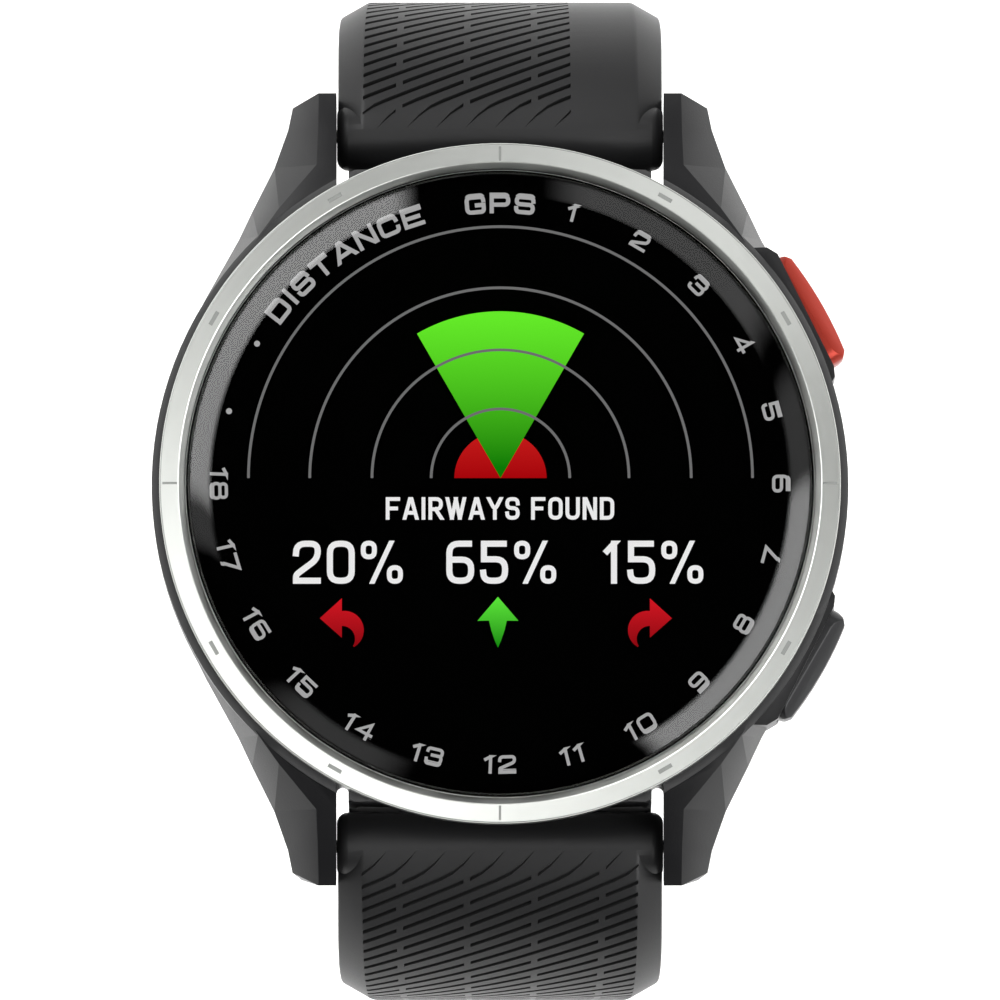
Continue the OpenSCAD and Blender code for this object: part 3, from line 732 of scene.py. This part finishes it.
def on_path(s, x, h, big_r):
    """The point at arc length s from the bar, x across and h out of the strap's middle."""
    if s < SHOULDER_S:
        a, r, cy = START + s / SHOULDER_R, SHOULDER_R, SHOULDER_Y
    else:
        a, r, cy = math.pi / 2 + (s - SHOULDER_S) / big_r, big_r, SHOULDER_Y + SHOULDER_R - big_r
    return Vector((x, cy + (r + h) * math.sin(a), SHOULDER_Z + (r + h) * math.cos(a)))


def half_width(s):
    t = min(1, max(0, (s - TAPER_FROM) / (TAPER_TO - TAPER_FROM)))
    return WIDE + (NARROW - WIDE) * t * t * (3 - 2 * t)


def bevel_width(s):
    return 1.5 + 0.25 * min(1, s / 12)


# %% Blank, grooves and holes
EDGE = 0.5
SIDE_LOW = -0.6
BEVEL = 1.75
FLAT = WIDE - BEVEL
SQUEEZE = (NARROW - BEVEL) / FLAT  # how much narrower the flat face is past the taper
DROP = 1.0
PITCH, LEAN = 0.72, 0.4
GROOVE, GROOVE_FLOOR, GROOVE_DEPTH = 0.135, 0.07, 0.36
BRIDGES = (-6.2, -2.04, 2.13, 6.3)
BRIDGE = 0.41
FADE_FROM, FADE, CURL_FROM, CURL, CURL_LOW = 0.2, 1.5, 1.7, 1.2, 0.923


def slice_off(piece, point, normal):
    """Cuts everything beyond a plane away and closes the cut."""
    edit(piece)
    bpy.ops.mesh.bisect(plane_co=Vector(point) * MM, plane_no=Vector(normal).normalized(),
                        use_fill=True, clear_outer=True, threshold=1e-7)
    bpy.ops.object.mode_set(mode="OBJECT")


def blank(name, end):
    """A flat strap with its bevels."""
    bpy.ops.object.select_all(action="DESELECT")
    bpy.ops.mesh.primitive_cube_add(size=1, location=(0, end / 2 * MM, 0), scale=(
        2 * WIDE * MM, end * MM, 2 * THICK * MM))
    piece = take(bpy.context.object)
    piece.name = piece.data.name = name
    bpy.ops.object.transform_apply(location=True, scale=True)
    for side in (-1, 1):
        slice_off(piece, (side * FLAT, 0, THICK), (side * DROP, 0, BEVEL))
        slice_off(piece, (side * (WIDE - EDGE), 0, -THICK), (side * (THICK + SIDE_LOW), 0, -EDGE))
    modify(piece, "BEVEL", width=0.14 * MM, segments=3, limit_method="ANGLE",
           angle_limit=math.radians(20))
    return piece


def cross_lines(piece, places):
    edit(piece)
    for s in places:
        bpy.ops.mesh.select_all(action="SELECT")
        bpy.ops.mesh.bisect(plane_co=(0, s * MM, 0), plane_no=(0, 1, 0), threshold=1e-7)
    bpy.ops.object.mode_set(mode="OBJECT")


def groove_cutters(x_from, x_to, lean, s_to):
    """Wedges for the grooves: every second line is broken by the bridges, both ends of a line fade,
    and near the bar each line curls towards it."""
    points, faces = [], []
    count = int((s_to + 8) / PITCH)
    for k in range(count):
        v = -4 + k * PITCH
        stops = [x_from] + ([b + e * BRIDGE / 2 for b in BRIDGES for e in (-1, 1)
                             if x_from < b < x_to] if k % 2 else []) + [x_to]
        for a, b in zip(stops[::2], stops[1::2]):
            clip = sorted(((CURL_LOW - v) / lean, (s_to - v) / lean))
            a, b = max(a, clip[0]), min(b, clip[1])
            if b - a < 0.3:
                continue
            rings = max(1, round((b - a) / 0.7))
            first = len(points)
            for i in range(rings + 1):
                x = a + (b - a) * i / rings
                s = v + lean * x
                early = max(0, CURL_FROM - s)
                s -= CURL * early * early
                f = max(0.12, min(1, (s - FADE_FROM) / FADE, (s_to - s) / FADE))
                top, floor, depth = GROOVE * (0.35 + 0.65 * f), GROOVE_FLOOR * f, GROOVE_DEPTH * f
                points += [(x, s - top, THICK + 0.05), (x, s + top, THICK + 0.05),
                           (x, s + floor, THICK - depth), (x, s - floor, THICK - depth)]
            for i in range(rings):
                j = first + 4 * i
                faces += [(j + n, j + (n + 1) % 4, j + 4 + (n + 1) % 4, j + 4 + n) for n in range(4)]
            faces += [(first, first + 3, first + 2, first + 1),
                      tuple(first + 4 * rings + n for n in range(4))]
    return settle(mesh_piece("groove_cutters", points, faces))


def bend(piece, side, big_r, tip_from=None, tip=10.0):
    """Bends the flat strap along its path. Side 1 hangs from 12 o'clock, -1 from 6 o'clock."""
    for vertex in piece.data.vertices:
        x, s, h = vertex.co / MM
        inner = THICK + 0.9 * max(0, 1 - s / 8) ** 2
        if h < SIDE_LOW:
            h = SIDE_LOW + (h - SIDE_LOW) * (inner + SIDE_LOW) / (THICK + SIDE_LOW)
        edge = bevel_width(s)
        flat = half_width(s) - edge
        past = max(0, abs(x) - FLAT) * edge / BEVEL
        x = math.copysign(min(abs(x), FLAT) * flat / FLAT + past, x)
        if tip_from and s > tip_from:
            t = min(0.995, (s - tip_from) / tip)
            x *= math.sqrt(1 - t * t)
        p = on_path(s, x, h, big_r)
        vertex.co = Vector((p.x, side * p.y, p.z)) * MM


# %% The round end on its bar
BARREL_R, BARREL_HALF, BARREL_EDGE = 2.1, 10.27, 0.7
BARREL_AXIS = (22.35, 2.88)
BORE_R = 0.8
LEVER_SLOT = (-9.1, -5.9, 0.95)


def rod(x0, x1, y, z, radius, sides=32):
    """A round bar along X."""
    bpy.ops.object.select_all(action="DESELECT")
    bpy.ops.mesh.primitive_cylinder_add(vertices=sides, radius=radius * MM, depth=(x1 - x0) * MM,
                                        rotation=(0, math.pi / 2, 0),
                                        location=((x0 + x1) / 2 * MM, y * MM, z * MM))
    return settle(bpy.context.object)


def block(x0, x1, y0, y1, z0, z1):
    bpy.ops.object.select_all(action="DESELECT")
    bpy.ops.mesh.primitive_cube_add(size=1, location=((x0 + x1) / 2 * MM, (y0 + y1) / 2 * MM,
                                    (z0 + z1) / 2 * MM), scale=((x1 - x0) * MM, (y1 - y0) * MM,
                                    (z1 - z0) * MM))
    return settle(bpy.context.object)


def add_barrel(piece, side):
    """Joins on the round end, then cuts the bar's bore and the slot for its lever."""
    y, z = BARREL_AXIS
    barrel = rod(-BARREL_HALF, BARREL_HALF, side * y, z, BARREL_R, 72)
    modify(barrel, "BEVEL", width=BARREL_EDGE * MM, segments=5, limit_method="ANGLE",
           angle_limit=math.radians(60))
    modify(piece, "BOOLEAN", operation="UNION", object=barrel, solver="EXACT")
    bpy.data.objects.remove(barrel)
    cut(piece, rod(-12, 12, side * BAR_Y, BAR_Z, BORE_R))
    x0, x1, half = LEVER_SLOT
    cut(piece, block(x0, x1, side * BAR_Y - half, side * BAR_Y + half, BAR_Z - 4, BAR_Z))


# %% Both halves
def finish_strap(piece, side, shape, node, body, **tip):
    edit(piece)
    bpy.ops.mesh.quads_convert_to_tris(quad_method="BEAUTY", ngon_method="BEAUTY")
    bpy.ops.object.mode_set(mode="OBJECT")
    bend(piece, side, shape["big_r"], **tip)
    add_barrel(piece, side)
    settle(piece, 24)
    dress(piece, silicone)
    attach(piece, body)
    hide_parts(node)
    print(piece.name, len(piece.data.polygons), "faces")


SHOULDER_LINES = [0.1 + 0.42 * i for i in range(34)]
TANG_SLOT = 1.45
HOLE_R, HOLE_FROM, HOLE_PITCH, HOLES = 1.2, 44, 6.4, 10


def upper_half():
    end = UPPER["length"] + 1.15
    piece = blank("upper_strap_moulded", end)
    edit(piece)
    mesh = bmesh.from_edit_mesh(piece.data)
    bpy.ops.mesh.select_all(action="DESELECT")
    for edge in mesh.edges:
        a, b = (v.co for v in edge.verts)
        edge.select_set(min(a.y, b.y) > (end - 0.01) * MM and abs(a.z - b.z) < 0.01 * MM
                        and abs(a.x - b.x) > 8 * MM)
    bmesh.update_edit_mesh(piece.data)
    bpy.ops.mesh.bevel(offset=1.0 * MM, segments=5, affect="EDGES")
    cross_lines(piece, SHOULDER_LINES + [15 + 2.0 * i for i in range(28)])
    cut(piece, groove_cutters(-8.43, 4.35, LEAN, 38))
    cut(piece, rod(-12, 12, UPPER["length"], 0, BORE_R))
    slot = TANG_SLOT / SQUEEZE
    cut(piece, block(-slot, slot, UPPER["length"] - 2.6, end + 2, -3, 3))
    finish_strap(piece, 1, UPPER, "upper_strap", "upper_half")


def lower_half():
    tip = 10.0
    end = LOWER["length"] - 0.03
    piece = blank("lower_strap_moulded", end)
    tip_lines = [LOWER["length"] - tip + tip * math.sin(math.radians(a)) for a in range(10, 86, 8)]
    cross_lines(piece, SHOULDER_LINES + [15 + 2.0 * i for i in range(44)] + tip_lines)
    cut(piece, groove_cutters(-8.5, 8.5, -LEAN, 38))
    for i in range(HOLES):
        bpy.ops.object.select_all(action="DESELECT")
        bpy.ops.mesh.primitive_cylinder_add(vertices=32, radius=HOLE_R * MM / SQUEEZE, depth=6 * MM,
                                            location=(0, (HOLE_FROM + HOLE_PITCH * i) * MM, 0))
        hole = bpy.context.object
        hole.scale = (1, SQUEEZE, 1)
        cut(piece, settle(hole))
    finish_strap(piece, -1, LOWER, "lower_strap", "lower_half",
                 tip_from=LOWER["length"] - tip, tip=tip)


upper_half()
lower_half()

# %% [markdown]
# ## The rest of the CAD parts
# Screws, springs, seals, the board and the battery keep their CAD shape and only get their finish.

# %% Finishes for the kept nodes
KEPT = {
    steel: ("case_screws", "button_sleeves", "start_stem", "start_clip", "back_stem", "back_clip",
            "upper_bar_tube", "upper_release_pin", "upper_release_lever", "buckle_pin",
            "lower_bar_tube", "lower_release_pin", "lower_release_lever", "vibration_motor"),
    spring_wire: ("upper_bar_spring", "lower_bar_spring"),
    seal_rubber: ("back_seal", "start_ring_seal", "back_ring_seal"),
    foam: ("glass_seal",), panel_glass: ("display_panel",), die_cast: ("display_frame",),
    board_mask: ("main_board",), can_steel: ("shield_cans",), cell_foil: ("battery",),
    film: ("display_flex", "battery_lead", "gnss_antenna"), gold_plate: ("charge_pins",),
    socket_nylon: ("charge_block",), switch_nylon: ("start_switch", "back_switch"),
}
for material, names in KEPT.items():
    for name in names:
        dress(nodes[name], material)
print("dressed", sum(len(n) for n in KEPT.values()), "CAD nodes")

# %% [markdown]
# ## Table and light
# The watch lies over a white light table in a studio tent: black cloth with lit white panels.
# Each panel is seen twice. In the glass's curved edge it is a soft grey band, which ends where the
# panel ends. In the circular brushing it is a bright fan on its own side, and a weaker one opposite.
# So the wide panels stand at middle height to the left and right, and thin bright ones hang high.
# The flat glass mirrors what is straight above, which stays dark.

# %% Light table
def add_table(height):
    bpy.ops.object.select_all(action="DESELECT")
    bpy.ops.mesh.primitive_plane_add(size=6, location=(0, 0, height))
    table = settle(bpy.context.object)
    table.name = "table"
    dress(table, grained("acrylic_opal_light_table", "#f4f4f3", 0.8, 4.0, 0.01, tint=0.01,
                         Emission_Color=(1, 1, 1, 1), Emission_Strength=0.4))


TABLE_GAP = 0.004
add_table(cad_box[0].z - TABLE_GAP)
print("table at", round((cad_box[0].z - TABLE_GAP) * 1000, 1), "mm")

# %% [markdown]
# The tent is the world's shader. It splits a direction into its height and its level part, and each
# panel is a product of three soft steps: one round the clock, one at its foot, one at its top.

# %% Panels of the tent
world = bpy.data.worlds.new("studio")
world.use_nodes = True
bpy.context.scene.world = world
sky = world.node_tree
way = add(sky, "ShaderNodeTexCoord")
height = add(sky, "ShaderNodeSeparateXYZ", links=[("Vector", way, "Generated")])
flattened = add(sky, "ShaderNodeVectorMath", {1: (1, 1, 0)}, [(0, way, "Generated")],
                operation="MULTIPLY")
level = add(sky, "ShaderNodeVectorMath", links=[(0, flattened, "Vector")], operation="NORMALIZE")


def soft_step(source, output, low, high):
    """0 below one value, 1 above the other; the values may also be given the other way round."""
    return add(sky, "ShaderNodeMapRange", {"From Min": low, "From Max": high},
               [("Value", source, output)], interpolation_type="SMOOTHSTEP")


def combined(a, b, operation="MULTIPLY"):
    """One number from two, each given as (node, output)."""
    return add(sky, "ShaderNodeMath", links=[(0, *a), (1, *b)], operation=operation)


def white_panel(clock, half, low, high, power, soft, fade):
    """A lit panel: its middle and half width round the clock, its lowest and highest angle."""
    a = math.radians(clock)
    near = add(sky, "ShaderNodeVectorMath", {1: (math.sin(a), math.cos(a), 0)},
               [(0, level, "Vector")], operation="DOT_PRODUCT")
    wide = soft_step(near, "Value", *(math.cos(math.radians(half + e)) for e in (soft, -soft)))
    above = soft_step(height, "Z", *(math.sin(math.radians(low + e)) for e in (-fade, fade)))
    below = soft_step(height, "Z", *(math.sin(math.radians(high + e)) for e in (fade, -fade)))
    shape = combined((combined((wide, "Result"), (above, "Result")), 0), (below, "Result"))
    return add(sky, "ShaderNodeMath", {1: power}, [(0, shape, 0)], operation="MULTIPLY")


PANELS = (  # clock, half width, lowest, highest, power, softness of the sides, of the foot and top
    (308, 35, 30, 63, 5.6, 3, 6), (116, 31, 30, 63, 5.4, 3, 6), (33, 21, 30, 63, 1.3, 5, 6),
    (75, 9, 30, 63, 0.8, 4, 6), (216, 12, 34, 63, 0.8, 6, 6), (268, 4, 30, 63, 0.8, 3, 6),
    (225, 76, 74, 83, 5.0, 8, 1), (30, 5, 76, 83, 5.0, 4, 1), (97, 8, 74, 83, 5.0, 6, 1))
lit_panels = None
for facts in PANELS:
    panel = white_panel(*facts)
    lit_panels = combined((lit_panels, 0), (panel, 0), "ADD") if lit_panels else panel
print(len(PANELS), "panels")

# %% [markdown]
# White cloth also runs round the foot of the tent. It fades into the black between 15 and 26 degrees,
# and it is dimmer on the 6 o'clock side, where the lower strap hangs.

# %% Foot of the tent
cloth = add(sky, "ShaderNodeValToRGB", links=[("Fac", height, "Z")])
for stop, place, colour in zip((cloth.color_ramp.elements[0], cloth.color_ramp.elements.new(0.3),
                                cloth.color_ramp.elements[-1]), (0.0, 0.26, 0.44),
                               ("#ffffff", "#ffffff", "#030303")):
    stop.position = place
    stop.color = rgb(colour)
in_front = add(sky, "ShaderNodeVectorMath", {1: (0, -1, 0)}, [(0, level, "Vector")],
               operation="DOT_PRODUCT")
shade = add(sky, "ShaderNodeMapRange", {"From Min": 0.3, "From Max": 0.8, "To Min": 1.0, "To Max": 0.4},
            [("Value", in_front, "Value")])
foot = add(sky, "ShaderNodeVectorMath", links=[(0, cloth, "Color"), (1, shade, "Result")],
           operation="MULTIPLY")
light = add(sky, "ShaderNodeVectorMath", links=[(0, foot, "Vector"), (1, lit_panels, 0)],
            operation="ADD")
sky.links.new(light.outputs["Vector"], sky.nodes["Background"].inputs["Color"])
bpy.context.scene.view_settings.view_transform = "Standard"

# %% [markdown]
# ## Sizes
# The CAD model's box is printed. The visual model has to stay inside the CAD model's box.

# %% Write the sizes and finish
take(bezel)
print("cad", [[round(v * 1000, 2) for v in c] for c in cad_box])
